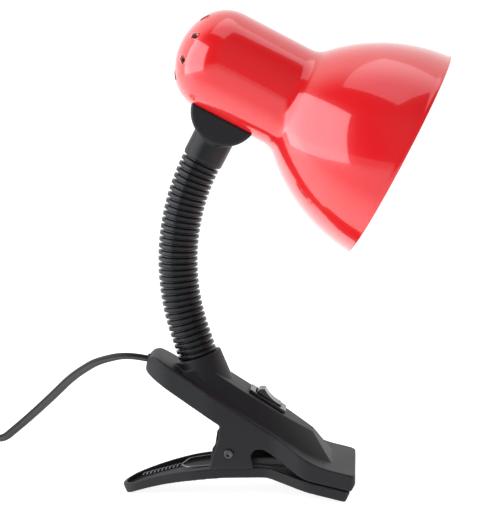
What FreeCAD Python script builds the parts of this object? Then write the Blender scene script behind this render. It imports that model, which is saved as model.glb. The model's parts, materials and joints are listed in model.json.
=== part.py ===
"""Clip-on reading lamp: spring clip with a rocker switch, flexible neck, red reflector head, mains lead.

Millimetres. +X runs from the clip's handles to its jaws, +Y across the clip, +Z up.
The lamp stands on z = 0 on its lower jaw, and x = 0 is the middle of its length without the lead.
"""
import FreeCAD, Part
import math
import os

V = FreeCAD.Vector
ACROSS = V(0, 1, 0)
UP = V(0, 0, 1)
MIDDLE = V(0, 0, 0)

# ---- clip, as seen from the side (x, z)
PIN = V(-28.8, 0, 23.1)              # axis of the jaw pivot
PIN_R = 2.0
SLOPE = 33.5                         # fall of the upper shell towards its jaw, degrees
SLOPE_AT = V(-56.0, 0, 65.05)        # a point on the upper shell's top surface
JAW_TILT = 14.5                      # fall of the meeting line of the two jaws, degrees
WALL = 2.0                           # moulded wall of both halves
HALF_BODY = 22.7                     # half width of the clip at its pivot
HALF_JAW = 31.5                      # half width of the clip at the front of its jaws
HALF_LUG = 20.3                      # half width over the lower jaw's pivot lugs
EAR_GAP = 20.7                       # inner face of the upper shell's ears
LUG_R = 8.0
COVER_LOW = -8.3                     # bottom cover's lower face, out of the slope
COVER_T = 1.7
COVER_SCREWS = [(0.5, 7.0), (0.5, -7.0), (48.5, 15.0), (48.5, -15.0)]
BUSH_R = 2.6
BUSH_LENGTH = 5.6

# ---- raised switch housing and neck tower on the upper shell, in the slope's own frame
RIDGE_H = 9.0
TOWER_R = 11.8
NECK_FOOT = V(-44.4, 0, 69.0)        # where the neck's axis leaves the tower
NECK_LEAN = 17.0                     # backward lean of the neck at the tower, degrees
SWITCH_U = 49.2                      # switch centre along the slope
BEZEL = (21.0, 15.0, 1.6)
ROCKER_R = 7.0                       # from the rocker's pivot to its ends

# ---- flexible neck
NECK_STRAIGHT = 14.0                 # straight start above the tower
NECK_BEND_R = 111.1                  # radius of the rest of its axis
HEAD_TILT = 28.6                     # fall of the head's axis, degrees
LINKS = 9
FIRST_PIVOT = 4.3                    # along the axis, above the tower
RING_R = 9.8                         # outside of the sleeve's rings
SLEEVE_R = 8.4                       # outside of the sleeve between its rings
CORE_R = 6.0
BALL_R = 4.2
RUN_FIT = 0.3                        # clearance where one link turns on the next
LINK_GAP = 1.45                      # from a pivot to the ring edges on either side of it
WIRE_WAY_R = 2.0

# ---- head, in its own frame: x along the lamp's axis from the rim plane, z up, both in head axes
RIM_R = 54.5
SHADE_WALL = 0.8
HOUSING_R = 26.1
SADDLE_AT = -85.1                    # the neck's axis meets the head here
COLLAR_END = -47.3
COLLAR_R = 10.25
BULB_R = 22.5
BULB_END = -16.0
STRAP_TOP = -22.65                   # inner face of the holder bracket's foot
HOLDER_R = 17.2

# ---- mains lead
LEAD_R = 0.9                         # single insulated wire
CORD_R = 1.8                         # round section of the same area as the 2.4 x 4.8 flat twin lead
CORD_LENGTH = 1500.0
COIL_AT = V(-215.2, 116.0, 0)
COIL_R = 27.0                        # middle of the coil's turns
COIL_HALF_BAND = 4.8
COIL_HEIGHT = 20.4
CORD_ROUTE = [V(-64.4, 0, 66.4), V(-81.2, 0, 69.5), V(-97.0, 10.5, 64.3), V(-112.0, 31.0, 52.6),
              V(-127.0, 56.0, 36.3), V(-144.0, 81.0, 19.0), V(-161.0, 102.0, 2.6), V(-172.5, 114.3, 1.95),
              V(-183.6, 125.4, 1.95), V(-194.0, 136.4, 1.95)]
CORD_WAY = (CORD_ROUTE[1] - CORD_ROUTE[0]).normalize()
TAIL_ROUTE = [V(-235.6, 137.2, 17.4), V(-248.0, 125.5, 13.0), V(-258.0, 110.0, 5.5), V(-257.5, 92.5, 2.05),
              V(-247.0, 78.5, 1.95), V(-233.0, 69.5, 1.95)]
PLUG_WAY = V(14.0, -9.0, 0).normalize()
PLUG_PIN_R = 2.0
PLUG_PIN_LENGTH = 19.0


# ---- outlines --------------------------------------------------------------------------------

def corner(before, at, after, radius):
    """Start, middle and end of the arc that rounds the corner at a point."""
    back = (before - at).normalize()
    ahead = (after - at).normalize()
    half = back.getAngle(ahead) / 2
    inward = (back + ahead).normalize()
    centre = at + inward * (radius / math.sin(half))
    reach = radius / math.tan(half)
    return at + back * reach, centre - inward * radius, at + ahead * reach


def rounded_wire(points, radii, closed=True):
    """Straight runs through points, joined by tangent arcs of the given radii."""
    count = len(points)
    marks = []
    for i in range(count):
        if radii[i] and (closed or 0 < i < count - 1):
            marks.append(corner(points[i - 1], points[i], points[(i + 1) % count], radii[i]))
        else:
            marks.append((points[i],))
    edges = []
    for i in range(count):
        if len(marks[i]) == 3:
            edges.append(Part.Arc(*marks[i]).toShape())
        if closed or i < count - 1:
            start = marks[i][-1]
            end = marks[(i + 1) % count][0]
            if start.distanceToPoint(end) > 1e-4:
                edges.append(Part.LineSegment(start, end).toShape())
    return Part.Wire(Part.__sortEdges__(edges))


def side_face(outline, y):
    """Face of an (x, z, radius) outline at a distance y across the clip."""
    points = [V(x, y, z) for x, z, radius in outline]
    return Part.Face(rounded_wire(points, [radius for x, z, radius in outline]))


def side_slab(outline, low, high):
    """Solid between y = low and y = high with an (x, z, radius) outline."""
    return side_face(outline, low).extrude(V(0, high - low, 0))


def plan_face(outline, z=0.0):
    """Face of an (x, y, radius) outline seen from above."""
    points = [V(x, y, z) for x, y, radius in outline]
    return Part.Face(rounded_wire(points, [radius for x, y, radius in outline]))


def both_sides(half):
    """Whole outline from its half with y > 0, listed from rear to front."""
    return half + [(x, -y, radius) for x, y, radius in reversed(half)]


def column(face, low=-20.0, high=130.0):
    """Upright solid on a plan face."""
    face.translate(V(0, 0, low))
    return face.extrude(V(0, 0, high - low))


def turned(profile):
    """Solid turned about X from (x, r, radius) corners, first and last of them on the axis or closed."""
    points = [V(x, 0, r) for x, r, radius in profile]
    face = Part.Face(rounded_wire(points, [radius for x, r, radius in profile]))
    return face.revolve(MIDDLE, V(1, 0, 0), 360)


def rod(at, way, length, radius):
    return Part.makeCylinder(radius, length, at, way)


def tube(at, way, length, outer, inner):
    return rod(at, way, length, outer).cut(rod(at, way, length, inner))


def box(low, high):
    return Part.makeBox(high[0] - low[0], high[1] - low[1], high[2] - low[2], V(*low))


def pipe(path, radius):
    """Round bar along a wire that starts along a straight run or an arc."""
    start = path.OrderedEdges[0]
    at = start.valueAt(start.FirstParameter)
    way = start.tangentAt(start.FirstParameter)
    if at.distanceToPoint(path.OrderedVertexes[0].Point) > 1e-4:
        at = start.valueAt(start.LastParameter)
        way = start.tangentAt(start.LastParameter) * -1
    ring = Part.Wire(Part.makeCircle(radius, at, way))
    return path.makePipeShell([ring], True, True)


def screw(at, way, head_r, head_h, shank_r, length):
    """Pan-head screw: its shank runs along way from under the head."""
    head = Part.makeCylinder(head_r, head_h, at - way * head_h, way)
    head = head.fuse(Part.makeCylinder(shank_r, length, at, way))
    slot = Part.makeBox(head_r * 2.4, 0.8, 0.7, V(-head_r * 1.2, -0.4, -0.01))
    slot.Placement = FreeCAD.Placement(at - way * head_h, FreeCAD.Rotation(UP, way))
    return head.cut(slot)


def union(shapes):
    whole = shapes[0]
    for shape in shapes[1:]:
        whole = whole.fuse(shape)
    return whole.removeSplitter()


# ---- frames ----------------------------------------------------------------------------------

def slope_frame():
    """x along the fall of the upper shell, z out of its top surface."""
    return FreeCAD.Placement(SLOPE_AT, FreeCAD.Rotation(ACROSS, SLOPE))


def neck_point(along):
    """Point on the neck's axis and its lean towards +X in degrees, at a distance from the tower."""
    lean = math.radians(-NECK_LEAN)
    straight = min(along, NECK_STRAIGHT)
    at = NECK_FOOT + V(math.sin(lean), 0, math.cos(lean)) * straight
    if along <= NECK_STRAIGHT:
        return at, -NECK_LEAN
    turned_to = lean + (along - NECK_STRAIGHT) / NECK_BEND_R
    swing = V(math.cos(lean) - math.cos(turned_to), 0, math.sin(turned_to) - math.sin(lean))
    return at + swing * NECK_BEND_R, math.degrees(turned_to)


NECK_LENGTH = NECK_STRAIGHT + NECK_BEND_R * math.radians(NECK_LEAN + HEAD_TILT)
PIVOT_STEP = (NECK_LENGTH - 2 * FIRST_PIVOT) / LINKS
PIVOTS = [neck_point(FIRST_PIVOT + i * PIVOT_STEP)[0] for i in range(LINKS + 1)]


def link_frame(index):
    """Frame of a link: its origin on the lower pivot, z towards the upper one."""
    way = (PIVOTS[index + 1] - PIVOTS[index]).normalize()
    return FreeCAD.Placement(PIVOTS[index], FreeCAD.Rotation(UP, way))


def head_frame():
    """x along the lamp's axis out of the rim, z away from the neck, origin at the rim's centre."""
    turn = FreeCAD.Rotation(ACROSS, HEAD_TILT)
    neck_end = neck_point(NECK_LENGTH)[0]
    return FreeCAD.Placement(neck_end - turn.multVec(V(SADDLE_AT, 0, COLLAR_END)), turn)


def placed(shape, frame):
    moved = shape.copy()
    moved.Placement = frame.multiply(moved.Placement)
    return moved


# ---- upper half of the clip ------------------------------------------------------------------

FRONT_LEAN = V(math.sin(math.radians(JAW_TILT)), 0, math.cos(math.radians(JAW_TILT)))


def body_plan(inset=0.0):
    """Outline of the upper shell from above: round rear, straight middle, jaw flared to the front."""
    half = [(-70.9 + inset, 14.4 - 0.78 * inset, 18.0 - inset),
            (-37.0, HALF_BODY - inset, 25.0),
            (-6.5, HALF_BODY - inset, 13.0 + inset),
            (8.0, HALF_JAW - inset, 17.0 - inset),
            (60.0, HALF_JAW - inset, 0)]
    return column(plan_face(both_sides(half)))


def front_block(front, half_width, round_r, at=33.7, top=13.0, lean=FRONT_LEAN):
    """Everything behind the jaws' leaning front, with its two upright corners rounded."""
    outline = [(-100.0, -half_width, 0), (at - front, -half_width, round_r),
               (at - front, half_width, round_r), (-100.0, half_width, 0)]
    face = plan_face(outline, top)
    face.translate(lean * -60)
    return face.extrude(lean * 200)


def shell_side():
    """Side of the upper shell without its ears: falling top, jaw line, stepped lower edge."""
    return [(-70.9, 62.3, 0.8), (-68.4, 73.25, 4.3), (15.1, 18.0, 52.0), (34.0, 13.0, 0.8),
            (34.0, 8.6, 1.5), (31.9, 5.35, 0.5), (8.2, 11.43, 25.0), (-8.3, 22.9, 2.5), (-11.2, 24.8, 1.5),
            (-15.2, 25.2, 0), (-33.0, 37.2, 0)]


def ear():
    """Pivot ear: a trapezoid plate under the shell, bored for the pivot pin."""
    outline = [(-32.8, 42.0, 0), (-33.6, 31.0, 12.0), (-38.6, 15.5, 0.8), (-16.2, 15.5, 0.8),
               (-18.0, 22.3, 2.0), (-14.8, 25.6, 0), (-10.0, 30.0, 0)]
    plate = side_slab(outline, EAR_GAP, HALF_BODY)
    hole = rod(PIN, ACROSS, 40, PIN_R + 0.05)
    return plate.cut(hole)


def ridge(inset=0.0):
    """Raised switch housing: wide at the tower, tapering to a slanted end near the jaw."""
    base = [(3.0 + inset, 15.0), (46.0, 21.2), (103.6 - 2.3 * inset, 21.7)]
    top = [(14.0 + inset, 11.8), (46.0, 12.6), (76.7 - inset, 5.0)]

    def ring(half, z):
        near = [V(x, inset - y, z) for x, y in half]
        far = [V(x, y - inset, z) for x, y in reversed(half)]
        edges = [Part.Arc(*near).toShape(), Part.LineSegment(near[-1], far[0]).toShape(),
                 Part.Arc(*far).toShape(), Part.LineSegment(far[-1], near[0]).toShape()]
        return Part.Wire(edges)

    solid = Part.makeLoft([ring(base, -2.5 - inset), ring(top, RIDGE_H - inset)], True, True)
    return placed(solid, slope_frame())


def tower(inset=0.0):
    """Foot of the neck: round at the top, spreading across the clip where it joins the shell."""
    foot = Part.Wire(Part.Ellipse(MIDDLE, 16.5 - inset, 12.6 - inset).toShape())
    foot.rotate(MIDDLE, UP, 90)
    foot.translate(V(0.5, 0, -17.0))
    rim = Part.Wire(Part.makeCircle(TOWER_R - inset, V(0, 0, -inset), UP))
    solid = Part.makeLoft([foot, rim], True, True)
    lean = FreeCAD.Rotation(ACROSS, -NECK_LEAN)
    return placed(solid, FreeCAD.Placement(NECK_FOOT, lean))


def tower_way():
    return FreeCAD.Rotation(ACROSS, -NECK_LEAN).multVec(UP)


def shell_posts():
    """Screw posts of the bottom cover, inside the shell."""
    posts = []
    for x, y in COVER_SCREWS:
        foot = V(x, y, COVER_LOW + COVER_T)
        posts.append(tube(foot, UP, -foot.z - WALL + 0.5, 3.0, 1.2))
    return placed(Part.makeCompound(posts), slope_frame())


def upper_shell():
    """Upper half of the clip: skirt and top, raised housing, tower, ears, spring rib and screw posts."""
    block = body_plan().common(side_slab(shell_side(), -40, 40))
    block = block.common(front_block(0, HALF_JAW, 3.5, at=34.0, lean=UP))
    outer = union([block, ridge(), tower()])
    hollow = body_plan(WALL).common(front_block(WALL, HALF_JAW - WALL, 1.0))
    lowered = side_slab(shell_side(), -40, 40)
    lowered.translate(V(0, 0, -WALL / math.cos(math.radians(SLOPE))))
    hollow = hollow.common(lowered)
    inner_ridge = ridge(WALL)
    shell = outer.cut(hollow).cut(inner_ridge).cut(tower(WALL))
    one_ear = ear()
    rib = side_slab([(5.6, 13.1, 0), (9.4, 12.1, 0), (9.4, 13.3, 0.3), (5.6, 13.3, 0)], -29.0, 29.0)
    rib = rib.common(body_plan(0.5))
    parts = [shell, one_ear, one_ear.mirror(MIDDLE, ACROSS), rib]
    shell = union(parts + shell_posts().Solids)
    shell = shell.cut(rod(NECK_FOOT - tower_way() * 30, tower_way(), 40, 7.2))
    shell = shell.cut(placed(box((-9.7, -6.5, -5), (9.7, 6.5, 30)), switch_frame()))
    return shell.cut(rod(CORD_ROUTE[0], CORD_WAY, 20, BUSH_R))


def bottom_cover():
    """Plate closing the shell from below, screwed to its posts."""
    plate = placed(box((-7.5, -40, COVER_LOW), (54.0, 40, COVER_LOW + COVER_T)), slope_frame())
    plate = plate.common(body_plan(WALL + 0.2))
    for x, y in COVER_SCREWS:
        plate = plate.cut(placed(rod(V(x, y, COVER_LOW - 1), UP, 6, 1.6), slope_frame()))
    return plate


def cover_screws():
    screws = [screw(V(x, y, COVER_LOW), UP, 2.7, 1.3, 1.15, 6.0) for x, y in COVER_SCREWS]
    return placed(Part.makeCompound(screws), slope_frame())


def grip_pad(rows, base, thickness, side, inset):
    """Rubber pad lying along the jaw line, ribbed across on its gripping side."""
    turn = FreeCAD.Rotation(ACROSS, JAW_TILT)
    pad = box((0, -HALF_JAW + inset, 0), (20.0, HALF_JAW - inset, thickness))
    for i in range(rows):
        groove = box((1.5 + 2.2 * i, -40, thickness - 0.8), (2.5 + 2.2 * i, 40, thickness + 1))
        if side < 0:
            groove = box((1.5 + 2.2 * i, -40, -1), (2.5 + 2.2 * i, 40, 0.8))
        pad = pad.cut(groove)
    pad.Placement = FreeCAD.Placement(base, turn)
    return pad


def upper_grip_pad():
    pad = grip_pad(8, V(10.6, 0, 10.95), 3.4, -1, 0)
    return pad.common(body_plan(WALL + 0.05)).common(front_block(WALL + 0.05, HALF_JAW - WALL, 1.0))


def lower_grip_pad():
    pad = grip_pad(8, V(9.9, 0, 7.35), 3.1, 1, 0)
    return pad.common(jaw_plan(WALL + 0.05)).common(front_block(WALL + 0.05, HALF_JAW - WALL, 1.0))


# ---- lower half of the clip ------------------------------------------------------------------

def jaw_plan(inset=0.0):
    """Outline of the lower jaw from above: round handle, waist between the ears, flared jaw."""
    half = [(-83.937 + inset, 9.7 - 0.76 * inset, 12.2 - inset),
            (-46.0, HALF_LUG - inset, 30.0),
            (-10.5, HALF_LUG - inset, 14.0),
            (9.5, HALF_JAW - inset, 16.0),
            (60.0, HALF_JAW - inset, 0)]
    return column(plan_face(both_sides(half)))


def jaw_side(lift=0.0, top=0.0):
    """Side of the lower jaw: arched handle, level middle, jaw falling to the front."""
    return [(-81.2, 0.0 + lift, 0), (-53.6, 10.1 + lift, 150.0), (-9.5, 10.1 + lift, 20.0),
            (28.9, 0.0 + lift, 0.8), (31.6, 4.95 + top, 0.5), (-8.9, 15.35 + top, 20.0),
            (-53.0, 15.35 + top, 150.0), (-83.95, 3.7 + top, 0)]


def lower_jaw():
    """Lower handle and jaw: an arched trough with two pivot lugs."""
    outer = side_slab(jaw_side(), -40, 40).common(jaw_plan())
    outer = outer.common(front_block(0, HALF_JAW, 3.5))
    hollow = side_slab(jaw_side(WALL, 6.0), -40, 40).common(jaw_plan(WALL))
    hollow = hollow.common(front_block(WALL, HALF_JAW - WALL, 1.0))
    trough = outer.cut(hollow)
    half = [(10.5, 11.0, 0), (LUG_R, 26.0, 0), (LUG_R, PIN.z + LUG_R, LUG_R - 0.1)]
    outline = [(PIN.x - x, z, radius) for x, z, radius in half]
    outline += [(PIN.x + x, z, radius) for x, z, radius in reversed(half)]
    lug = side_slab(outline, HALF_LUG - WALL, HALF_LUG)
    whole = union([trough, lug, lug.mirror(MIDDLE, ACROSS)])
    return whole.cut(rod(PIN - ACROSS * 40, ACROSS, 80, PIN_R + 0.05))


def pivot_pin():
    """Rivet through ears and lugs, its dimpled head on the near side."""
    shank = rod(PIN - ACROSS * (HALF_BODY + 0.3), ACROSS, 2 * HALF_BODY + 1.3, PIN_R)
    head = rod(V(PIN.x, -HALF_BODY - 1.0, PIN.z), ACROSS, 0.98, 2.4)
    head = head.makeFillet(0.6, [e for e in head.Edges if e.Closed and e.CenterOfMass.y < -HALF_BODY - 0.5])
    dimple = Part.makeSphere(2.0, V(PIN.x, -HALF_BODY - 2.4, PIN.z))
    return union([shank, head.cut(dimple)])


def pin_cap():
    """Push-on retaining cap on the far end of the rivet."""
    cap = rod(V(PIN.x, HALF_BODY + 0.02, PIN.z), ACROSS, 1.0, 4.2)
    return cap.cut(rod(PIN, ACROSS, 60, PIN_R))


SPRING_WIRE_R = 0.55
SPRING_COIL_R = 6.4
SPRING_TURNS = 3
SPRING_OUT = 14.9                    # y where a coil's leg to the jaw starts
SPRING_IN = 11.3                     # y where it leaves for the handle


def spring_coil():
    """Far coil of the clamp spring, wound about the pin from its lowest point."""
    pitch = (SPRING_OUT - SPRING_IN) / SPRING_TURNS
    helix = Part.makeLongHelix(pitch, SPRING_OUT - SPRING_IN, SPRING_COIL_R, 0, False)
    ring = Part.Wire(Part.makeCircle(SPRING_WIRE_R, V(SPRING_COIL_R, 0, 0), ACROSS))
    coil = Part.Wire(Part.__sortEdges__(helix.Edges)).makePipeShell([ring], True, True)
    turn = FreeCAD.Rotation(V(0, 0, -1), V(1, 0, 0), V(0, -1, 0), "XYZ")
    coil.Placement = FreeCAD.Placement(PIN + ACROSS * SPRING_OUT, turn)
    return coil.mirror(ACROSS * ((SPRING_OUT + SPRING_IN) / 2), ACROSS)


SPRING_LOW = PIN.z - SPRING_COIL_R
TAIL_START = V(-54.0, 0, 12.3)
TAIL_END = V(-73.5, 0, 7.4)


def spring_legs():
    """Legs from both coils: joined by a bend over the jaw's rib, and brought together at the handle."""
    front = [V(PIN.x, SPRING_OUT, SPRING_LOW), V(-24.0, SPRING_OUT, SPRING_LOW), V(8.6, SPRING_OUT, 14.15),
             V(8.6, -SPRING_OUT, 14.15), V(-24.0, -SPRING_OUT, SPRING_LOW), V(PIN.x, -SPRING_OUT, SPRING_LOW)]
    legs = [pipe(rounded_wire(front, [0, 8.0, 3.0, 3.0, 8.0, 0], False), SPRING_WIRE_R)]
    for side in (1, -1):
        rear = [V(PIN.x, side * SPRING_IN, SPRING_LOW), V(-31.5, side * SPRING_IN, SPRING_LOW),
                V(-38.0, side * (SPRING_IN + 0.5), 14.7), V(-50.5, side * 9.6, 13.3),
                TAIL_START + V(0, side * SPRING_WIRE_R, 0)]
        legs.append(pipe(rounded_wire(rear, [0, 5.0, 6.0, 4.0, 0], False), SPRING_WIRE_R))
    return legs


def spring_tail():
    """The two wire ends twisted together, resting along the handle's floor."""
    along = TAIL_END - TAIL_START
    strands = []
    for start in (0, 180):
        helix = Part.makeHelix(6.0, along.Length, SPRING_WIRE_R)
        ring = Part.Wire(Part.makeCircle(SPRING_WIRE_R * 0.93, V(SPRING_WIRE_R, 0, 0), V(0, 1, 0.95)))
        strand = Part.Wire(helix.Edges).makePipeShell([ring], True, True)
        strand.rotate(MIDDLE, UP, start)
        strands.append(placed(strand, FreeCAD.Placement(TAIL_START, FreeCAD.Rotation(UP, along))))
    return strands


def clamp_spring():
    coil = spring_coil()
    return Part.makeCompound([coil, coil.mirror(MIDDLE, ACROSS)] + spring_legs() + spring_tail())


# ---- rocker switch ---------------------------------------------------------------------------

def switch_frame():
    """Middle of the switch on the ridge's top: x down the slope, z out of it."""
    frame = slope_frame()
    return frame.multiply(FreeCAD.Placement(V(SWITCH_U, 0, RIDGE_H), FreeCAD.Rotation()))


ROCKER_PIVOT = V(0, 0, 0.6)


def switch_housing():
    """Bezel and body of the switch, with a well for the rocker."""
    long, wide, lip = BEZEL
    bezel = box((-long / 2, -wide / 2, 0.05), (long / 2, wide / 2, lip))
    bezel = bezel.makeFillet(1.2, [e for e in bezel.Edges if abs(e.tangentAt(0).z) > 0.9])
    body = box((-9.5, -6.3, -11.5), (9.5, 6.3, 0.1))
    well = rod(ROCKER_PIVOT - ACROSS * 5.4, ACROSS, 10.8, ROCKER_R + 0.35)
    well = well.fuse(box((-ROCKER_R - 0.35, -5.4, ROCKER_PIVOT.z), (ROCKER_R + 0.35, 5.4, 6)))
    return placed(bezel.fuse(body).removeSplitter().cut(well), switch_frame())


def switch_rocker():
    """Rocker key: concave top, high at the tower end, flush where it is pressed."""
    top = Part.Arc(V(-4.3, -5, 4.45), V(0.6, -5, 2.35), V(6.7, -5, 1.95)).toShape()
    rear = Part.Arc(V(6.7, -5, 1.95), V(0, -5, -ROCKER_R), V(-6.3, -5, 3.05)).toShape()
    heel = Part.LineSegment(V(-6.3, -5, 3.05), V(-4.3, -5, 4.45)).toShape()
    face = Part.Face(Part.Wire(Part.__sortEdges__([top, rear, heel])))
    key = face.extrude(V(0, 10, 0))
    key.translate(V(0, 0, ROCKER_PIVOT.z))
    return placed(key, switch_frame())


def switch_terminals():
    blades = []
    for x in (-5.0, 3.5):
        blades.append(box((x, -2.4, -15.2), (x + 0.8, 2.4, -11.5)))
    return placed(Part.makeCompound(blades), switch_frame())


# ---- lead entry ------------------------------------------------------------------------------

def cord_grommet():
    """Bush in the shell's rear wall that the lead comes out of."""
    return tube(CORD_ROUTE[0], CORD_WAY, BUSH_LENGTH, BUSH_R, CORD_R + 0.02)


def clip_leads():
    """Insulated wires inside the shell: entry to switch, switch to neck, entry to neck."""
    low = -5.0
    to_switch = [V(-6.5, 0, -4.0), V(2.0, -0.95, low), V(30.0, -1.2, low), V(44.0, -1.2, low)]
    from_switch = [V(52.0, -1.2, low), V(48.8, -3.9, low), V(36.0, -3.9, low), V(23.0, -0.95, low),
                   V(17.2, -0.95, 1.5)]
    straight_through = [V(-6.5, 1.9, -4.0), V(2.0, 2.4, low), V(23.0, 0.95, low), V(17.2, 0.95, 1.5)]
    wires = [pipe(rounded_wire(to_switch, [0, 9.0, 30.0, 0], False), LEAD_R),
             pipe(rounded_wire(from_switch, [0, 2.5, 9.0, 2.0, 0], False), LEAD_R),
             pipe(rounded_wire(straight_through, [0, 9.0, 2.0, 0], False), LEAD_R)]
    return placed(Part.makeCompound(wires), slope_frame())


# ---- neck ------------------------------------------------------------------------------------

def ringed_sleeve(length):
    """Sleeve between two pivots, with two rings; its origin is on the lower pivot."""
    low = LINK_GAP
    high = length - LINK_GAP
    body = Part.makeCylinder(SLEEVE_R, high - low, V(0, 0, low), UP)
    ring_h = (high - low) / 2 - 0.8
    for z in (low, high - ring_h):
        ring = Part.makeCylinder(RING_R, ring_h, V(0, 0, z), UP)
        body = body.fuse(ring.makeFillet(0.9, [e for e in ring.Edges if e.Closed]))
    return body.cut(Part.makeCylinder(CORE_R, length, MIDDLE, UP)).removeSplitter()


def ball_end():
    """Ball on a pivot, with a stem up into its own link."""
    ball = Part.makeSphere(BALL_R)
    return ball.fuse(Part.makeCylinder(3.0, LINK_GAP + 1.5, MIDDLE, UP))


def cup_end(core, height):
    """Bowl in the top of a core for the next link's ball, with a relief above it for its stem."""
    return core.cut(Part.makeSphere(BALL_R + RUN_FIT, V(0, 0, height)))


def link_core(length):
    """Steel core of a link: ball below, bowl above, bored for the wires."""
    core = Part.makeCylinder(CORE_R, length - 2 * LINK_GAP, V(0, 0, LINK_GAP), UP)
    core = cup_end(core.fuse(ball_end()), length)
    return core.cut(Part.makeCylinder(WIRE_WAY_R, 40, V(0, 0, -20), UP)).removeSplitter()


def neck_foot():
    """Bottom end of the conduit: threaded ferrule through the tower, with the first bowl."""
    rise = FIRST_PIVOT
    body = Part.makeCylinder(7.0, 12.0 + rise - LINK_GAP, V(0, 0, -12.0), UP)
    body = body.fuse(Part.makeCylinder(SLEEVE_R - 0.2, rise - LINK_GAP - 0.1, V(0, 0, 0.1), UP))
    body = cup_end(body, rise).cut(Part.makeCylinder(WIRE_WAY_R, 40, V(0, 0, -20), UP))
    return placed(body.removeSplitter(), FreeCAD.Placement(NECK_FOOT, FreeCAD.Rotation(UP, tower_way())))


def hexagon_nut(across, height, bore):
    corner_r = across / math.sqrt(3)
    points = [V(corner_r * math.cos(math.radians(60 * i)), corner_r * math.sin(math.radians(60 * i)), 0)
              for i in range(6)]
    nut = Part.Face(rounded_wire(points, [0] * 6)).extrude(V(0, 0, height))
    return nut.cut(Part.makeCylinder(bore, height, MIDDLE, UP))


def neck_nut():
    nut = hexagon_nut(17.0, 4.0, 7.0)
    nut.translate(V(0, 0, -WALL - 4.3))
    return placed(nut, FreeCAD.Placement(NECK_FOOT, FreeCAD.Rotation(UP, tower_way())))


# ---- head ------------------------------------------------------------------------------------

def shade_profile(offset):
    """Edges of the shade's outline from the middle of its back to the rim, moved in by offset."""
    bell_r = 88.0 - offset
    waist_r = 10.0 + offset
    shoulder_r = 20.0 - offset
    back_r = 32.0 - offset
    shoulder_at = V(-99.5, 0, HOUSING_R - 20.0)
    back_x = shoulder_at.x + math.sqrt(12.0 ** 2 - shoulder_at.z ** 2)
    toward = (shoulder_at - V(back_x, 0, 0)).normalize()
    back_way = math.atan2(toward.z, toward.x)
    flare = math.radians(45)
    waist_x = -62.5
    waist_end = V(waist_x + waist_r * math.sin(flare), 0, 0)
    radius = HOUSING_R - offset

    def on(centre, r, angle):
        return V(centre.x + r * math.cos(angle), 0, centre.z + r * math.sin(angle))

    back_at = V(back_x, 0, 0)
    waist_at = V(waist_x, 0, radius + waist_r)
    bell_at = V(waist_x + (waist_r + bell_r) * math.sin(flare), 0,
                waist_at.z - (waist_r + bell_r) * math.cos(flare))
    rim_angle = math.acos((0 - bell_at.x) / bell_r)
    middle = (math.pi + back_way) / 2
    shoulder_middle = (back_way + math.pi / 2) / 2
    bell_start = math.pi / 2 + flare
    edges = [
        Part.Arc(on(back_at, back_r, math.pi), on(back_at, back_r, middle), on(back_at, back_r, back_way)),
        Part.Arc(on(shoulder_at, shoulder_r, back_way), on(shoulder_at, shoulder_r, shoulder_middle),
                 on(shoulder_at, shoulder_r, math.pi / 2)),
        Part.LineSegment(V(shoulder_at.x, 0, radius), V(waist_x, 0, radius)),
        Part.Arc(on(waist_at, waist_r, -math.pi / 2), on(waist_at, waist_r, -math.pi / 2 + flare / 2),
                 on(waist_at, waist_r, -math.pi / 2 + flare)),
        Part.Arc(on(bell_at, bell_r, bell_start), on(bell_at, bell_r, (bell_start + rim_angle) / 2),
                 on(bell_at, bell_r, rim_angle))]
    return [edge.toShape() for edge in edges]


def solid_of(profile):
    """Solid inside a shade outline, closed at the rim plane."""
    first = profile[0].valueAt(profile[0].FirstParameter)
    last = profile[-1].Vertexes[-1].Point
    for vertex in profile[-1].Vertexes:
        if abs(vertex.Point.x) < abs(last.x):
            last = vertex.Point
    for vertex in profile[0].Vertexes:
        if vertex.Point.x < first.x:
            first = vertex.Point
    closing = [Part.LineSegment(last, V(last.x, 0, 0)).toShape(),
               Part.LineSegment(V(last.x, 0, 0), first).toShape()]
    face = Part.Face(Part.Wire(Part.__sortEdges__(profile + closing)))
    return face.revolve(MIDDLE, V(1, 0, 0), 360)


def vent_slots():
    """Slots round the back of the housing, cut along its axis."""
    slots = []
    for i in range(8):
        slot = box((-130, 14.5, -1.3), (-112.0, 19.5, 1.3))
        slot.rotate(MIDDLE, V(1, 0, 0), 22.5 + 45 * i)
        slots.append(slot)
    return slots


def shade():
    """Spun reflector and lamp housing in one skin, with a hemmed rim and vents in its back."""
    skin = solid_of(shade_profile(0)).cut(solid_of(shade_profile(SHADE_WALL)))
    hem = Part.makeTorus(RIM_R - 0.35, 0.8, V(-0.4, 0, 0), V(1, 0, 0))
    skin = skin.fuse(hem)
    for slot in vent_slots():
        skin = skin.cut(slot)
    return skin.cut(rod(V(SADDLE_AT, 0, -40), UP, 30, 5.3))


def saddle():
    """Half-round block under the housing with the collar that holds the neck's end."""
    block = Part.makeCylinder(17.2, 23.0, V(SADDLE_AT - 0.6, -11.5, -20.2), ACROSS)
    block = block.makeFillet(1.6, [e for e in block.Edges if e.Closed])
    collar = Part.makeCylinder(COLLAR_R, 27.0, V(SADDLE_AT, 0, COLLAR_END), UP)
    whole = block.fuse(collar)
    whole = whole.cut(Part.makeCylinder(HOUSING_R + 0.02, 80, V(-130, 0, 0), V(1, 0, 0)))
    whole = whole.cut(rod(V(SADDLE_AT, 0, COLLAR_END - 1), UP, 9.0, 7.3))
    return whole.cut(rod(V(SADDLE_AT, 0, -60), UP, 60, 5.05))


def head_nipple():
    """Hollow threaded tube that ties the neck's end, the saddle and the housing together."""
    return tube(V(SADDLE_AT, 0, COLLAR_END + 8.0), UP, 20.0, 5.0, 3.5)


def head_nut():
    nut = hexagon_nut(14.0, 3.0, 5.0)
    nut.translate(V(SADDLE_AT, 0, STRAP_TOP + 0.02))
    return nut


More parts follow.
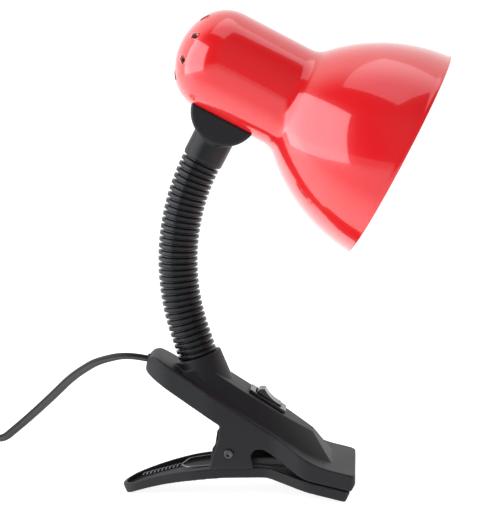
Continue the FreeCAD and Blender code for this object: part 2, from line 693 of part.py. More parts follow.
def holder_bracket():
    """Bent steel strap from the nipple to the back of the lamp holder."""
    foot = box((SADDLE_AT - 12.5, -7.0, STRAP_TOP - 1.5), (SADDLE_AT + 8.0, 7.0, STRAP_TOP))
    upright = box((SADDLE_AT - 12.5, -7.0, STRAP_TOP - 1.5), (SADDLE_AT - 11.0, 7.0, 7.0))
    strap = foot.fuse(upright).removeSplitter()
    strap = strap.cut(rod(V(SADDLE_AT, 0, -30), UP, 12, 5.1))
    return strap.cut(rod(V(SADDLE_AT - 20, 0, 0), V(1, 0, 0), 20, 2.1))


HOLDER_BACK = SADDLE_AT - 11.0
HOLDER_MOUTH = -64.0


def holder_body():
    """Moulded lamp holder, bored for the screw shell."""
    body = turned([(HOLDER_BACK + 0.02, 0, 0), (HOLDER_BACK + 0.02, 15.0, 1.0), (HOLDER_BACK + 11, 15.0, 0.5),
                   (HOLDER_BACK + 12, HOLDER_R, 0.5), (HOLDER_MOUTH, HOLDER_R, 0.8), (HOLDER_MOUTH, 14.3, 0),
                   (HOLDER_BACK + 9.0, 14.3, 0), (HOLDER_BACK + 9.0, 0, 0)])
    return body.cut(rod(V(HOLDER_BACK - 1, 0, 0), V(1, 0, 0), 7, 1.6))


def holder_screw():
    return screw(V(HOLDER_BACK - 1.5, 0, 0), V(1, 0, 0), 3.4, 1.8, 1.6, 6.5)


def holder_shell():
    """Brass screw shell of the holder, with its rolled thread as rings."""
    profile = turned([(HOLDER_BACK + 10.5, 0, 0), (HOLDER_BACK + 10.5, 14.2, 0),
                      (HOLDER_MOUTH - 1.0, 14.2, 0), (HOLDER_MOUTH - 1.0, 0, 0)])
    return profile.cut(rod(V(HOLDER_BACK + 5, 0, 0), V(1, 0, 0), 40, 13.6))


def holder_contact():
    """Sprung centre contact on the holder's floor."""
    strip = box((HOLDER_BACK + 9.02, -3.0, -9.0), (HOLDER_BACK + 9.6, 3.0, 3.0))
    return strip.fuse(rod(V(HOLDER_BACK + 9.02, 0, 0), V(1, 0, 0), 1.4, 3.0)).removeSplitter()


CAP_TIP = HOLDER_BACK + 10.8


def bulb_cap():
    """Screw cap of the bulb, its thread as rounded rings."""
    shell = tube(V(CAP_TIP + 4.0, 0, 0), V(1, 0, 0), 22.0, 12.4, 11.8)
    for i in range(5):
        shell = shell.fuse(Part.makeTorus(12.4, 0.8, V(CAP_TIP + 6.5 + 3.6 * i, 0, 0), V(1, 0, 0)))
    return shell.cut(rod(V(CAP_TIP, 0, 0), V(1, 0, 0), 30, 11.8))


def bulb_insulator():
    return turned([(CAP_TIP + 1.0, 0, 0), (CAP_TIP + 1.0, 6.0, 0), (CAP_TIP + 4.0, 11.8, 0),
                   (CAP_TIP + 7.0, 11.8, 0), (CAP_TIP + 7.0, 0, 0)])


def bulb_contact():
    return turned([(CAP_TIP, 0, 0), (CAP_TIP, 3.6, 0.3), (CAP_TIP + 1.0, 4.8, 0), (CAP_TIP + 1.0, 0, 0)])


def bulb_outline(radius, wall):
    """Globe with a neck that runs into the cap."""
    centre = BULB_END - BULB_R
    globe = Part.makeSphere(radius, V(centre, 0, 0))
    neck_end = CAP_TIP + 7.2 + wall
    neck = turned([(neck_end, 0, 0), (neck_end, 11.7 - wall, 0), (CAP_TIP + 26.5, 11.7 - wall, 6.0),
                   (centre - 4.0, radius - 3.0, 8.0), (centre, radius - 3.5, 0), (centre, 0, 0)])
    return globe.fuse(neck)


def bulb_glass():
    return bulb_outline(BULB_R, 0).cut(bulb_outline(BULB_R - 1.0, 1.0)).removeSplitter()


def neck_top():
    """Top end of the conduit: last ball, a ringed stub and the spigot inside the collar."""
    rise = NECK_LENGTH - FIRST_PIVOT
    below = FIRST_PIVOT - LINK_GAP
    stub = Part.makeCylinder(7.25, 8.4, V(0, 0, -0.5), UP)
    stub = stub.fuse(Part.makeCylinder(SLEEVE_R - 0.2, below - 0.12, V(0, 0, -below), UP))
    ball = ball_end()
    ball.translate(V(0, 0, -FIRST_PIVOT))
    stub = stub.fuse(ball).cut(Part.makeCylinder(WIRE_WAY_R, 40, V(0, 0, -20), UP))
    way = FreeCAD.Rotation(ACROSS, HEAD_TILT)
    return placed(stub.removeSplitter(), FreeCAD.Placement(neck_point(NECK_LENGTH)[0], way))


# ---- mains lead ------------------------------------------------------------------------------

def cord_radii(route):
    """Largest arcs that the runs leave room for: 0.45 of the shorter run at each point."""
    radii = [0]
    for before, at, after in zip(route, route[1:], route[2:]):
        turn = (at - before).getAngle(after - at)
        run = min(at.distanceToPoint(before), after.distanceToPoint(at))
        radii.append(0.45 * run / math.tan(turn / 2))
    return radii + [0]


def free_lead(name, route):
    """Round stand-in tube along a stretch of the flat lead."""
    radii = cord_radii(route)
    path = rounded_wire(route, radii, False)
    lead = pipe(path, CORD_R)
    print(name, "radii", [round(r, 1) for r in radii[1:-1]], "run", round(path.Length, 1),
          "volume", round(lead.Volume), "section x length", round(math.pi * CORD_R ** 2 * path.Length))
    return lead


def power_cord():
    return free_lead("power_cord", CORD_ROUTE)


def cord_tail():
    return free_lead("cord_tail", TAIL_ROUTE)


def at_tie(shape):
    """Turn a shape drawn on the coil's +X side to where the tie is."""
    return placed(shape, FreeCAD.Placement(COIL_AT, FreeCAD.Rotation(UP, -60)))


def tie_box(shrink):
    inner = COIL_R - COIL_HALF_BAND
    outer = COIL_R + COIL_HALF_BAND
    return box((inner - 0.3 + shrink, -2.5, shrink), (outer + 0.3 - shrink, 2.5, COIL_HEIGHT - shrink))


def cord_coil():
    """Outer shape of the wound part of the lead, lying on the surface."""
    loose = sum(rounded_wire(route, cord_radii(route), False).Length for route in (CORD_ROUTE, TAIL_ROUTE))
    print("cord_coil holds", round(CORD_LENGTH - loose), "of", CORD_LENGTH)
    ring = tube(COIL_AT, UP, COIL_HEIGHT, COIL_R + COIL_HALF_BAND, COIL_R - COIL_HALF_BAND)
    ring = ring.makeFillet(1.5, [e for e in ring.Edges if e.Closed])
    return ring.cut(at_tie(tie_box(0.0).cut(tie_box(1.2))))


def coil_tie():
    """Band round the coil."""
    return at_tie(tie_box(0.1).cut(tie_box(1.1)))


def plug_body():
    """Flat two-pin plug: a six-sided body with a tapered neck, lying on the surface."""
    ends = []
    for x, foot, flank, crown, top in ((8.0, 9.5, 7.0, 6.5, 10.5), (36.0, 11.8, 8.5, 8.0, 13.7)):
        outline = [(-foot, 0), (foot, 0), (foot, flank), (crown, top), (-crown, top), (-foot, flank)]
        ends.append(rounded_wire([V(x, y, z) for y, z in outline], [0] * 6))
    body = Part.makeLoft(ends, True, True)
    neck = box((0, -3.0, 0), (8.1, 3.0, 5.0))
    body = body.fuse(neck).removeSplitter()
    body = body.cut(rod(V(-1, 0, TAIL_ROUTE[-1].z), V(1, 0, 0), 5.0, CORD_R))
    return placed(body, plug_frame()).cut(plug_pins())


def plug_frame():
    """On the surface at the lead's end, x along the plug."""
    end = TAIL_ROUTE[-1]
    return FreeCAD.Placement(V(end.x, end.y, 0) - PLUG_WAY * 4.0, FreeCAD.Rotation(V(1, 0, 0), PLUG_WAY))


def plug_pins():
    pins = []
    for y in (-9.3, 9.3):
        pin = rod(V(36.0, y, 6.0), V(1, 0, 0), PLUG_PIN_LENGTH, PLUG_PIN_R)
        pin = pin.makeFillet(1.2, [e for e in pin.Edges if e.Closed and e.CenterOfMass.x > 50])
        pins.append(pin.fuse(rod(V(29.0, y, 6.0), V(1, 0, 0), 7.1, 1.5)))
    return placed(Part.makeCompound(pins), plug_frame())


NODES = {
    "upper_shell": upper_shell, "bottom_cover": bottom_cover, "cover_screws": cover_screws,
    "upper_grip_pad": upper_grip_pad, "lower_jaw": lower_jaw, "lower_grip_pad": lower_grip_pad,
    "pivot_pin": pivot_pin, "pin_cap": pin_cap, "clamp_spring": clamp_spring,
    "switch_housing": switch_housing, "switch_rocker": switch_rocker, "switch_terminals": switch_terminals,
    "cord_grommet": cord_grommet, "clip_leads": clip_leads,
    "neck_foot": neck_foot, "neck_nut": neck_nut, "neck_top": neck_top,
    "power_cord": power_cord, "cord_coil": cord_coil, "cord_tail": cord_tail, "coil_tie": coil_tie,
    "plug_body": plug_body, "plug_pins": plug_pins,
}
HEAD_NODES = {
    "shade": shade, "saddle": saddle, "head_nipple": head_nipple, "head_nut": head_nut,
    "holder_bracket": holder_bracket, "holder_body": holder_body, "holder_screw": holder_screw,
    "holder_shell": holder_shell, "holder_contact": holder_contact, "bulb_cap": bulb_cap,
    "bulb_insulator": bulb_insulator, "bulb_contact": bulb_contact, "bulb_glass": bulb_glass,
}


def main():
    os.makedirs("parts", exist_ok=True)
    shapes = {name: make() for name, make in NODES.items()}
    for name, make in HEAD_NODES.items():
        shapes[name] = placed(make(), head_frame())
    for index in range(LINKS):
        shapes["neck_sleeve_%02d" % (index + 1)] = placed(ringed_sleeve(PIVOT_STEP), link_frame(index))
        shapes["neck_core_%02d" % (index + 1)] = placed(link_core(PIVOT_STEP), link_frame(index))
    for name, shape in shapes.items():
        shape.exportStep("parts/%s.step" % name)
        print(name, "valid" if shape.isValid() else "INVALID", len(shape.Solids), round(shape.Volume, 1))
    return shapes


SHAPES = main()
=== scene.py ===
"""Looks of the clip-on reading lamp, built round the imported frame. Metres, row frame."""
import json
import math

import bpy
from mathutils import Matrix, Vector


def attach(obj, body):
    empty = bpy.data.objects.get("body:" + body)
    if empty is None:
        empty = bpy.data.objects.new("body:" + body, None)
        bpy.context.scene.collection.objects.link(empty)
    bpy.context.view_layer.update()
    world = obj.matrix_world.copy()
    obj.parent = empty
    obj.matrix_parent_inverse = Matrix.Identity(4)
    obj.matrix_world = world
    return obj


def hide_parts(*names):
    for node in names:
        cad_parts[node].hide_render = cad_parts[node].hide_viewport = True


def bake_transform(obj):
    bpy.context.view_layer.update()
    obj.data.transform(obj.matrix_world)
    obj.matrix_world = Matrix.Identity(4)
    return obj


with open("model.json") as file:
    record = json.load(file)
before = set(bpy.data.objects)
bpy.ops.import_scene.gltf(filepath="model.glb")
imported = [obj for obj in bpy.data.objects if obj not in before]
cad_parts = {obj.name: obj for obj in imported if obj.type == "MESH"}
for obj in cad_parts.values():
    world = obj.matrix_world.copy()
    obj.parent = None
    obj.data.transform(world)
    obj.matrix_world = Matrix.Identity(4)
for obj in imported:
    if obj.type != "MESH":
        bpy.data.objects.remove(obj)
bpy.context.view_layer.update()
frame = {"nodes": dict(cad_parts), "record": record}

MM = 0.001


def mm(x, y, z):
    """Point given in millimetres, in the row frame."""
    return Vector((x, y, z)) * MM


# ---- materials -------------------------------------------------------------------------------

def add_node(mat, kind, **values):
    """New shader node, with its inputs or settings by name."""
    node = mat.node_tree.nodes.new(kind)
    for key, value in values.items():
        if key in node.inputs:
            node.inputs[key].default_value = value
        else:
            setattr(node, key, value)
    return node


def principled(name, color, roughness, **sockets):
    mat = bpy.data.materials.new(name)
    mat.use_nodes = True
    shader = mat.node_tree.nodes["Principled BSDF"]
    shader.inputs["Base Color"].default_value = (*color, 1)
    shader.inputs["Roughness"].default_value = roughness
    for socket, value in sockets.items():
        shader.inputs[socket.replace("_", " ")].default_value = value
    return mat


def add_grain(mat, scale, strength, depth, detail=4.0):
    """Fine bump in the piece's own space."""
    tree = mat.node_tree
    coords = add_node(mat, "ShaderNodeTexCoord")
    noise = add_node(mat, "ShaderNodeTexNoise", Scale=scale, Detail=detail, Roughness=0.6)
    bump = add_node(mat, "ShaderNodeBump", Strength=strength, Distance=depth)
    tree.links.new(coords.outputs["Object"], noise.inputs["Vector"])
    tree.links.new(noise.outputs["Fac"], bump.inputs["Height"])
    tree.links.new(bump.outputs["Normal"], tree.nodes["Principled BSDF"].inputs["Normal"])


def vary_roughness(mat, scale, low, high):
    """Slow change of gloss over the piece, as handling leaves."""
    tree = mat.node_tree
    coords = add_node(mat, "ShaderNodeTexCoord")
    noise = add_node(mat, "ShaderNodeTexNoise", Scale=scale, Detail=3.0, Roughness=0.5)
    spread = add_node(mat, "ShaderNodeMapRange")
    spread.inputs["To Min"].default_value = low
    spread.inputs["To Max"].default_value = high
    tree.links.new(coords.outputs["Object"], noise.inputs["Vector"])
    tree.links.new(noise.outputs["Fac"], spread.inputs["Value"])
    tree.links.new(spread.outputs["Result"], tree.nodes["Principled BSDF"].inputs["Roughness"])


MATERIALS = {}


def finish(name, color, roughness, gloss=None, grain=None, **sockets):
    """Surface of one slot. gloss is (scale, low, high) of its roughness, grain (scale, strength, depth)."""
    mat = principled(name, color, roughness, **sockets)
    if gloss:
        vary_roughness(mat, *gloss)
    if grain:
        add_grain(mat, *grain)
    MATERIALS[name] = mat


def make_materials():
    """Every slot that the record or a visual piece names."""
    finish("red_enamel", (0.87, 0.008, 0.012), 0.22, grain=(260.0, 0.05, 0.0004, 2.0),
           Coat_Weight=1.0, Coat_Roughness=0.03, Coat_IOR=1.65)
    finish("white_enamel", (0.82, 0.82, 0.80), 0.3, Coat_Weight=0.4)
    finish("black_moulding", (0.012, 0.012, 0.013), 0.5, gloss=(60.0, 0.46, 0.58),
           grain=(2600.0, 0.25, 0.00012), Specular_IOR_Level=0.32)
    finish("black_satin", (0.01, 0.01, 0.011), 0.35, gloss=(80.0, 0.34, 0.44),
           grain=(2200.0, 0.1, 0.0001), Specular_IOR_Level=0.36)
    finish("black_gloss", (0.01, 0.01, 0.011), 0.2, gloss=(120.0, 0.14, 0.26))
    finish("black_insulator", (0.012, 0.012, 0.014), 0.15)
    finish("black_sleeve", (0.009, 0.009, 0.01), 0.3, gloss=(90.0, 0.22, 0.32), Specular_IOR_Level=0.4)
    finish("black_rubber", (0.02, 0.02, 0.02), 0.8, grain=(1800.0, 0.2, 0.0001))
    finish("zinc_steel", (0.1, 0.1, 0.105), 0.4, gloss=(200.0, 0.32, 0.48), Metallic=1.0)
    finish("spring_steel", (0.2, 0.2, 0.2), 0.35, gloss=(300.0, 0.3, 0.45), Metallic=1.0)
    finish("brass", (0.75, 0.55, 0.25), 0.28, gloss=(200.0, 0.2, 0.36), Metallic=1.0)
    finish("plug_brass", (0.72, 0.7, 0.66), 0.2, gloss=(200.0, 0.14, 0.28), Metallic=1.0)
    finish("bulb_cap_metal", (0.75, 0.75, 0.76), 0.25, gloss=(200.0, 0.18, 0.34), Metallic=1.0)
    finish("opal_glass", (0.93, 0.93, 0.91), 0.12, Transmission_Weight=0.25, Subsurface_Weight=0.3)
    finish("cord_sheath", (0.007, 0.007, 0.007), 0.42, gloss=(150.0, 0.36, 0.48),
           grain=(1500.0, 0.08, 0.0001), Specular_IOR_Level=0.3)
    finish("lead_insulation", (0.03, 0.05, 0.12), 0.4)


def wear(obj, *names):
    """Give a piece its materials."""
    obj.data.materials.clear()
    for name in names:
        obj.data.materials.append(MATERIALS[name])


# ---- meshes ----------------------------------------------------------------------------------

def fill(mesh, verts, faces):
    """Put smooth-shaded faces in an empty mesh."""
    mesh.from_pydata([tuple(v) for v in verts], [], faces)
    mesh.update()
    mesh.polygons.foreach_set("use_smooth", [True] * len(mesh.polygons))


def new_mesh(name, verts, faces, slot):
    mesh = bpy.data.meshes.new(name)
    fill(mesh, verts, faces)
    obj = bpy.data.objects.new(name, mesh)
    bpy.context.scene.collection.objects.link(obj)
    wear(obj, slot)
    return obj


def swept(name, loops, slot, capped=False):
    """Skin over a list of loops with the same number of points, with flat ends if capped."""
    count = len(loops[0])
    verts = [v for loop in loops for v in loop]
    faces = []
    for i in range(len(loops) - 1):
        below = i * count
        above = below + count
        for k in range(count):
            after = (k + 1) % count
            faces.append((below + k, below + after, above + after, above + k))
    if capped:
        faces.append(tuple(reversed(range(count))))
        faces.append(tuple(range(len(verts) - count, len(verts))))
    return new_mesh(name, verts, faces, slot)


def turns_of(count):
    """Angles of a full circle in equal steps."""
    return [2 * math.pi * k / count for k in range(count)]


def smooth(t):
    """0 to 1 with a level start and end."""
    t = min(max(t, 0.0), 1.0)
    return t * t * (3 - 2 * t)


# ---- neck ------------------------------------------------------------------------------------

LINKS = 9
NECK_FOOT = (-44.4, 69.0)                # x, z where the neck's axis leaves the tower
NECK_LEAN = 17.0                         # backward lean of the neck at the tower, degrees
NECK_STRAIGHT = 14.0
NECK_BEND_R = 111.1
HEAD_TILT = 28.6                         # fall of the head's axis, degrees
FIRST_PIVOT = 4.3
NECK_LENGTH = NECK_STRAIGHT + NECK_BEND_R * math.radians(NECK_LEAN + HEAD_TILT)
PIVOT_STEP = (NECK_LENGTH - 2 * FIRST_PIVOT) / LINKS
RING_PITCH = 3.06
RIDGE_R = 9.9
GROOVE_R = 8.3
FLAT_SHARE = 0.46                        # of half a pitch, the flat top of a ridge
FLANK_SHARE = 0.34                       # of half a pitch, the flank down to the groove
STEPS_PER_RING = 20
NECK_SIDES = 72


def neck_point(along):
    """Point on the neck's axis in millimetres and its lean towards +X in radians."""
    lean = math.radians(-NECK_LEAN)
    x, z = NECK_FOOT
    straight = min(along, NECK_STRAIGHT)
    x += math.sin(lean) * straight
    z += math.cos(lean) * straight
    if along > NECK_STRAIGHT:
        ahead = lean + (along - NECK_STRAIGHT) / NECK_BEND_R
        x += NECK_BEND_R * (math.cos(lean) - math.cos(ahead))
        z += NECK_BEND_R * (math.sin(ahead) - math.sin(lean))
        lean = ahead
    return x, z, lean


def sleeve_radius(along):
    """Ringed outline: flat-topped ridges with narrower grooves between them."""
    place = abs(2 * ((along / RING_PITCH) % 1.0) - 1)
    return RIDGE_R - (RIDGE_R - GROOVE_R) * smooth((place - FLAT_SHARE) / FLANK_SHARE)


def neck_loop(along):
    """Section of the sleeve across its axis."""
    x, z, lean = neck_point(along)
    radius = sleeve_radius(along)
    loop = []
    for turn in turns_of(NECK_SIDES):
        out = radius * math.cos(turn)
        loop.append(mm(x + out * math.cos(lean), radius * math.sin(turn), z - out * math.sin(lean)))
    return loop


def make_neck():
    """Sleeve in one piece per joint, from the middle of one link to the middle of the next."""
    cuts = [0.0] + [FIRST_PIVOT + PIVOT_STEP * (i + 0.5) for i in range(LINKS)] + [NECK_LENGTH]
    for i in range(LINKS + 1):
        low, high = cuts[i], cuts[i + 1]
        steps = round((high - low) / RING_PITCH * STEPS_PER_RING)
        loops = [neck_loop(low + (high - low) * k / steps) for k in range(steps + 1)]
        piece = swept("sleeve_%02d" % i, loops, "black_sleeve")
        if i < LINKS:
            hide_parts("neck_sleeve_%02d" % (i + 1))
        start, end = (mm(neck_point(cut)[0], 0, neck_point(cut)[1]) for cut in (low, high))
        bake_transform(piece)


# ---- shade -----------------------------------------------------------------------------------

SADDLE_AT = -85.1                        # the neck's axis meets the head here, from the rim plane
COLLAR_END = -47.3
SHADE_WALL = 0.8
HOUSING_R = 26.1
BACK_R = 32.0
SHOULDER_R = 20.0
SHOULDER_AT = -99.5
WAIST_R = 10.0
WAIST_AT = -62.5
BELL_R = 88.0
FLARE = math.radians(45)                 # slope where the waist runs into the bell
BEAD_R = 0.75                            # rolled edge of the rim
BEAD_IN = 0.35
SHADE_SIDES = 144
VENTS = 8
VENT_LOW = 14.2                          # the vents run from this radius to the next
VENT_HIGH = 19.4
VENT_BEHIND = -105.0                     # and lie behind this place
VENT_HALF_SIDES = 2


def head_point(along, out, side=0.0):
    """Point of the head: along its axis from the rim plane, out away from the neck, and sideways."""
    x, z, _ = neck_point(NECK_LENGTH)
    tilt = math.radians(HEAD_TILT)
    dx = along - SADDLE_AT
    dz = out - COLLAR_END
    return mm(x + dx * math.cos(tilt) + dz * math.sin(tilt), side,
              z - dx * math.sin(tilt) + dz * math.cos(tilt))


def arc(cx, cy, r, start, end, steps):
    """Points along an arc, both ends included."""
    angles = [start + (end - start) * i / steps for i in range(steps + 1)]
    return [(cx + r * math.cos(a), cy + r * math.sin(a)) for a in angles]


def shade_outline(offset):
    """Half outline (along, out) of the shade's skin from the middle of its back to the rim."""
    radius = HOUSING_R - offset
    waist = WAIST_R + offset
    bell = BELL_R - offset
    shoulder_out = HOUSING_R - SHOULDER_R
    back_at = SHOULDER_AT + math.sqrt((BACK_R - SHOULDER_R) ** 2 - shoulder_out ** 2)
    back_way = math.atan2(shoulder_out, SHOULDER_AT - back_at)
    points = arc(back_at, 0, BACK_R - offset, math.pi, back_way, 14)
    points += arc(SHOULDER_AT, shoulder_out, SHOULDER_R - offset, back_way, math.pi / 2, 18)[1:]
    points += [(SHOULDER_AT + (WAIST_AT - SHOULDER_AT) * i / 8, radius) for i in range(1, 9)]
    points += arc(WAIST_AT, radius + waist, waist, -math.pi / 2, -math.pi / 2 + FLARE, 14)[1:]
    bell_at = WAIST_AT + (waist + bell) * math.sin(FLARE)
    bell_out = radius + waist - (waist + bell) * math.cos(FLARE)
    points += arc(bell_at, bell_out, bell, math.pi / 2 + FLARE, math.acos(-bell_at / bell), 40)[1:]
    return points


def skin_faces(rows, is_open):
    """Quads between neighbouring rings of the shade, except where is_open(row, column) is true."""
    faces = []
    for i in range(rows - 1):
        for k in range(SHADE_SIDES):
            after = (k + 1) % SHADE_SIDES
            if not is_open(i, k):
                below, above = i * SHADE_SIDES, (i + 1) * SHADE_SIDES
                faces.append((below + k, above + k, above + after, below + after))
    return faces


def vent_wall(top, bottom, first, past, last_row):
    """Edge of the metal round one vent, from the outer ring's points to the inner's."""
    border = [(top, k) for k in range(first, past)] + [(i, past) for i in range(top, bottom)]
    border += [(bottom, k) for k in range(past, first, -1)] + [(i, first) for i in range(bottom, top, -1)]
    faces = []
    for (i, k), (j, m) in zip(border, border[1:] + border[:1]):
        outer = (i * SHADE_SIDES + k, j * SHADE_SIDES + m)
        inner = ((last_row - j) * SHADE_SIDES + m, (last_row - i) * SHADE_SIDES + k)
        faces.append(outer + inner)
    return faces


def make_shade():
    """Spun skin, red outside and white inside, with a rolled rim and vents in its back."""
    outer = shade_outline(0)
    inner = shade_outline(SHADE_WALL)
    bead = arc(-BEAD_IN, outer[-1][1] - BEAD_IN, BEAD_R, math.radians(80), math.radians(-120), 8)
    outline = outer[1:-1] + bead + list(reversed(inner[1:-1]))
    last_row = len(outline) - 1
    verts = []
    for along, out in outline:
        verts += [head_point(along, out * math.cos(t), out * math.sin(t)) for t in turns_of(SHADE_SIDES)]

    rows = []
    for i in range(last_row // 2):
        near, far = sorted((outline[i][1], outline[i + 1][1]))
        if near > VENT_LOW and far < VENT_HIGH and outline[i][0] < VENT_BEHIND:
            rows.append(i)
    spacing = SHADE_SIDES // VENTS
    centres = range(spacing // 2, SHADE_SIDES, spacing)
    columns = {c + step for c in centres for step in range(-VENT_HALF_SIDES, VENT_HALF_SIDES)}
    faces = skin_faces(len(outline), lambda i, k: (i in rows or last_row - 1 - i in rows) and k in columns)
    faces.append(tuple(range(SHADE_SIDES)))
    faces.append(tuple(last_row * SHADE_SIDES + k for k in reversed(range(SHADE_SIDES))))
    for centre in centres:
        faces += vent_wall(min(rows), max(rows) + 1, centre - VENT_HALF_SIDES, centre + VENT_HALF_SIDES,
                           last_row)

    shade = new_mesh("shade_skin", verts, faces, "red_enamel")
    shade.data.materials.append(MATERIALS["white_enamel"])
    inside_from = (len(outer) - 2 + len(bead) - 1) * SHADE_SIDES
    for polygon in shade.data.polygons:
        if min(polygon.vertices) >= inside_from:
            polygon.material_index = 1
    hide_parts("shade")
    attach(shade, "head")


# ---- wires -----------------------------------------------------------------------------------

def fillet(points, radii, spacing):
    """Polyline through points in millimetres with rounded corners, sampled about every spacing."""
    marks = [points[0]]
    for before, at, after, radius in zip(points, points[1:], points[2:], radii):
        back = (before - at).normalized()
        ahead = (after - at).normalized()
        half = back.angle(ahead) / 2
        reach = radius / math.tan(half)
        centre = at + (back + ahead).normalized() * (radius / math.sin(half))
        start = at + back * reach - centre
        end = at + ahead * reach - centre
        turn = math.pi - 2 * half
        steps = max(3, round(radius * turn / spacing))
        across = start.cross(end).normalized()
        marks += [centre + Matrix.Rotation(turn * i / steps, 3, across) @ start for i in range(steps + 1)]
    marks.append(points[-1])
    path = [marks[0]]
    for mark in marks[1:]:
        run = (mark - path[-1]).length
        if run > 1e-6:
            pieces = max(1, round(run / spacing))
            begin = path[-1]
            path += [begin.lerp(mark, i / pieces) for i in range(1, pieces + 1)]
    return path


def way_at(path, i):
    """Direction of a polyline at one of its points."""
    return (path[min(i + 1, len(path) - 1)] - path[max(i - 1, 0)]).normalized()


def wire(name, path, radius, slot, count=12):
    """Round wire along a polyline in millimetres, its section carried along without twist."""
    side = (path[1] - path[0]).orthogonal().normalized()
    loops = []
    for i, point in enumerate(path):
        way = way_at(path, i)
        side = (side - way * side.dot(way)).normalized()
        other = way.cross(side)
        loops.append([mm(*(point + (side * math.cos(t) + other * math.sin(t)) * radius))
                      for t in turns_of(count)])
    return swept(name, loops, slot, capped=True)


def joined(name, parts):
    """One object out of several with the same slot."""
    bpy.ops.object.select_all(action="DESELECT")
    for part in parts:
        part.select_set(True)
    bpy.context.view_layer.objects.active = parts[0]
    bpy.ops.object.join()
    parts[0].name = name
    return parts[0]


# ---- clamp spring ----------------------------------------------------------------------------

PIN = Vector((-28.8, 0, 23.1))
WIRE_R = 0.55
SPRING_TURNS = 3
SPRING_R = 6.4
SPRING_OUT = 14.9                        # y where a coil's leg to the jaw starts
SPRING_IN = 11.3                         # y where it leaves for the handle
SPRING_LOW = PIN.z - SPRING_R
SPRING_STEPS = 36                        # points in a coil's turn
TAIL_START = Vector((-54.0, 0, 12.3))
TAIL_END = Vector((-73.5, 0, 7.4))
TWIST = 4.0                              # length of one turn of the two twisted ends
TWIST_STEPS = 120
WIRE_SPACING = 0.8


def spring_coil(side):
    path = []
    for i in range(SPRING_TURNS * SPRING_STEPS + 1):
        turn = 2 * math.pi * i / SPRING_STEPS
        y = SPRING_IN + (SPRING_OUT - SPRING_IN) * i / (SPRING_TURNS * SPRING_STEPS)
        path.append(PIN + Vector((SPRING_R * math.sin(turn), side * y, -SPRING_R * math.cos(turn))))
    return wire("spring_coil", path, WIRE_R, "spring_steel")


def spring_front():
    """Legs from both coils to the jaw, joined by a bend over the shell's rib."""
    half = [(PIN.x, SPRING_OUT, SPRING_LOW), (-24.0, SPRING_OUT, SPRING_LOW), (8.6, SPRING_OUT, 14.15)]
    points = [Vector(p) for p in half] + [Vector((x, -y, z)) for x, y, z in reversed(half)]
    return wire("spring_front", fillet(points, (8.0, 3.0, 3.0, 8.0), WIRE_SPACING), WIRE_R, "spring_steel")


def spring_leg(side):
    """Leg from a coil to the handle, with its end twisted round the other's."""
    points = [Vector((PIN.x, side * SPRING_IN, SPRING_LOW)), Vector((-31.5, side * SPRING_IN, SPRING_LOW)),
              Vector((-38.0, side * (SPRING_IN + 0.5), 14.7)), Vector((-50.5, side * 9.6, 13.3)),
              TAIL_START + Vector((0, side * WIRE_R, 0))]
    path = fillet(points, (5.0, 6.0, 4.0), WIRE_SPACING)
    length = (TAIL_END - TAIL_START).length
    way = (TAIL_END - TAIL_START).normalized()
    across = Vector((0, 1, 0))
    up = across.cross(way)
    for i in range(1, TWIST_STEPS + 1):
        turn = 2 * math.pi * length * i / TWIST_STEPS / TWIST
        out = across * math.cos(turn) + up * math.sin(turn)
        path.append(TAIL_START + way * (length * i / TWIST_STEPS) + out * side * WIRE_R)
    return wire("spring_leg", path, WIRE_R, "spring_steel")


def make_spring():
    """Coils and front bend stay with the clip; the rear legs are built in place at rest and follow no body.
    """
    held = joined("spring_coils", [spring_coil(1), spring_coil(-1), spring_front()])
    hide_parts("clamp_spring")
    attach(held, "clip")
    tail = joined("spring_legs", [spring_leg(1), spring_leg(-1)])
    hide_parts("clamp_spring")
    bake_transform(tail)


# ---- lead ------------------------------------------------------------------------------------

LOBE_R = 1.2
GROOVE_DEPTH = 0.4                       # of the groove between the two wires, below their tops
CORD_SPACING = 2.5
CORD_ROUTE = [(-64.4, 0, 66.4), (-81.2, 0, 69.5), (-97.0, 10.5, 64.3), (-112.0, 31.0, 52.6),
              (-127.0, 56.0, 36.3), (-144.0, 81.0, 19.0), (-161.0, 102.0, 3.1), (-172.5, 114.3, 2.3),
              (-183.6, 125.4, 2.5), (-194.0, 136.4, 2.5)]
TAIL_ROUTE = [(-235.6, 137.2, 17.8), (-248.0, 125.5, 13.0), (-258.0, 110.0, 5.5), (-257.5, 92.5, 2.05),
              (-247.0, 78.5, 1.95), (-233.0, 69.5, 1.95)]
COIL_CENTRE = (-215.2, 116.0)
COIL_START = math.radians(43.9)
COIL_TURNS = 7.25
COIL_CELLS = [(29.4, 2.5), (24.6, 2.5), (24.6, 7.6), (29.4, 7.6),
              (29.4, 12.7), (24.6, 12.7), (24.6, 17.8), (29.4, 17.8)]
COIL_STEPS = 44
EXIT_LIE = 34.0                          # the flat side's slope where the lead leaves the clip, degrees


def eased(route):
    """Route with every corner rounded as far as its shorter run allows."""
    points = [Vector(p) for p in route]
    radii = []
    for before, at, after in zip(points, points[1:], points[2:]):
        half = (before - at).angle(after - at) / 2
        radii.append(0.45 * min((before - at).length, (after - at).length) * math.tan(half))
    return fillet(points, radii, CORD_SPACING)


def coil_path():
    """Winding of the coil: two layers wide and four high, each turn stepping to the next at its end."""
    path = []
    last = len(COIL_CELLS) - 1
    for i in range(round(COIL_TURNS * COIL_STEPS) + 1):
        turns = i / COIL_STEPS
        cell = min(int(turns), last)
        step = smooth((turns - cell - 0.75) / 0.25) if cell < last else 0.0
        r0, z0 = COIL_CELLS[cell]
        r1, z1 = COIL_CELLS[min(cell + 1, last)]
        angle = COIL_START + 2 * math.pi * turns
        r = r0 + (r1 - r0) * step
        path.append(Vector((COIL_CENTRE[0] + r * math.cos(angle), COIL_CENTRE[1] + r * math.sin(angle),
                            z0 + (z1 - z0) * step)))
    return path


